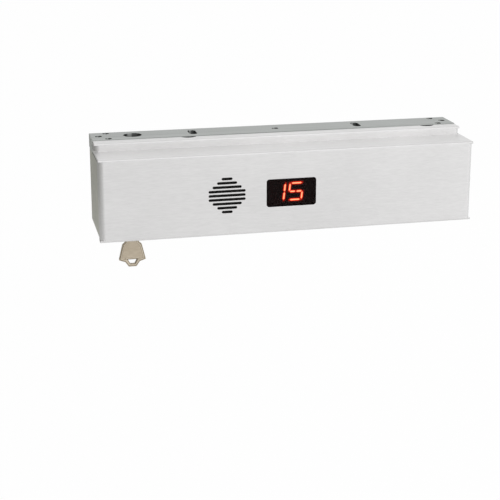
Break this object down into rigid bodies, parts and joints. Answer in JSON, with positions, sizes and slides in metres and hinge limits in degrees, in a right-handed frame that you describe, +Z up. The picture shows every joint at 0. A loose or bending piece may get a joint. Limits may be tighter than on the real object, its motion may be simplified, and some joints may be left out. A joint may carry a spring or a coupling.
{
  "type": "electromagnetic lock",
  "caption": "Long box-shaped door magnet lock with a brushed stepped cover, speaker grille, lit delay display, key reset switch below and a drilled mounting plate on top.",
  "frame": {"origin": "middle of the mounting plate's top face, on the centre hole's axis", "axes": "+X along the lock to the right seen from the front, +Y back towards the door and the magnet's face, +Z up towards the header"},
  "size_m": [0.2986, 0.0707, 0.0953],
  "materials": {
    "brushed_cover": "fine lengthwise brushing, satin",
    "grey_plate": "matt grey aluminium",
    "end_metal": "satin grey aluminium",
    "magnet_case": "satin aluminium",
    "core_iron": "ground lamination faces",
    "coil_wire": "enamelled winding",
    "resin": "cast black resin",
    "screw_steel": "zinc-plated steel",
    "board": "green circuit board",
    "black_plastic": "moulded black plastic",
    "can_metal": "drawn can",
    "terminal_green": "moulded green plastic",
    "dark_lens": "dark red tinted lens",
    "lit_red": "lit red segment",
    "unlit_red": "unlit segment",
    "foam": "black foam",
    "paper_cone": "black speaker cone",
    "switch_chrome": "bright plated",
    "tag_brass": "tinned brass",
    "key_nickel": "nickel silver key"
  },
  "bodies": {
    "lock": {"mounting_plate": "grey_plate", "cover": "brushed_cover", "end_plate_left": "end_metal", "end_plate_right": "end_metal", "end_plate_screws": "screw_steel", "magnet_housing": "magnet_case", "magnet_core": "core_iron", "magnet_coil": "coil_wire", "magnet_potting": "resin", "hanging_screws": "screw_steel", "cover_brackets": "screw_steel", "bracket_screws": "screw_steel", "cover_screws": "screw_steel", "board_standoffs": "tag_brass", "main_board": "board", "board_screws": "screw_steel", "relay": "black_plastic", "controller_chip": "black_plastic", "capacitors": "can_metal", "terminal_block": "terminal_green", "display_window": "dark_lens", "display_module": "black_plastic", "display_riser": "black_plastic", "lit_segments": "lit_red", "unlit_segments": "unlit_red", "speaker_gasket": "foam", "speaker_frame": "screw_steel", "speaker_cone": "paper_cone", "speaker_magnet": "core_iron", "speaker_clips": "screw_steel", "speaker_nuts": "screw_steel", "keyswitch_barrel": "switch_chrome", "keyswitch_washer": "screw_steel", "keyswitch_nut": "tag_brass", "contact_block": "black_plastic", "contact_terminals": "tag_brass"},
    "plug": {"keyswitch_plug": "switch_chrome", "plug_clip": "screw_steel"},
    "key": {"key": "key_nickel"}
  },
  "joints": [
    {"name": "key_turn", "type": "hinge", "parent": "lock", "child": "plug", "pos_m": [-0.1236, -0.0401, -0.07215], "axis": [0, 0, 1], "range_deg": [0, 90]},
    {"name": "key_withdraw", "type": "slide", "parent": "plug", "child": "key", "axis": [0, 0, -1], "range_m": [0, 0.028]}
  ]
}
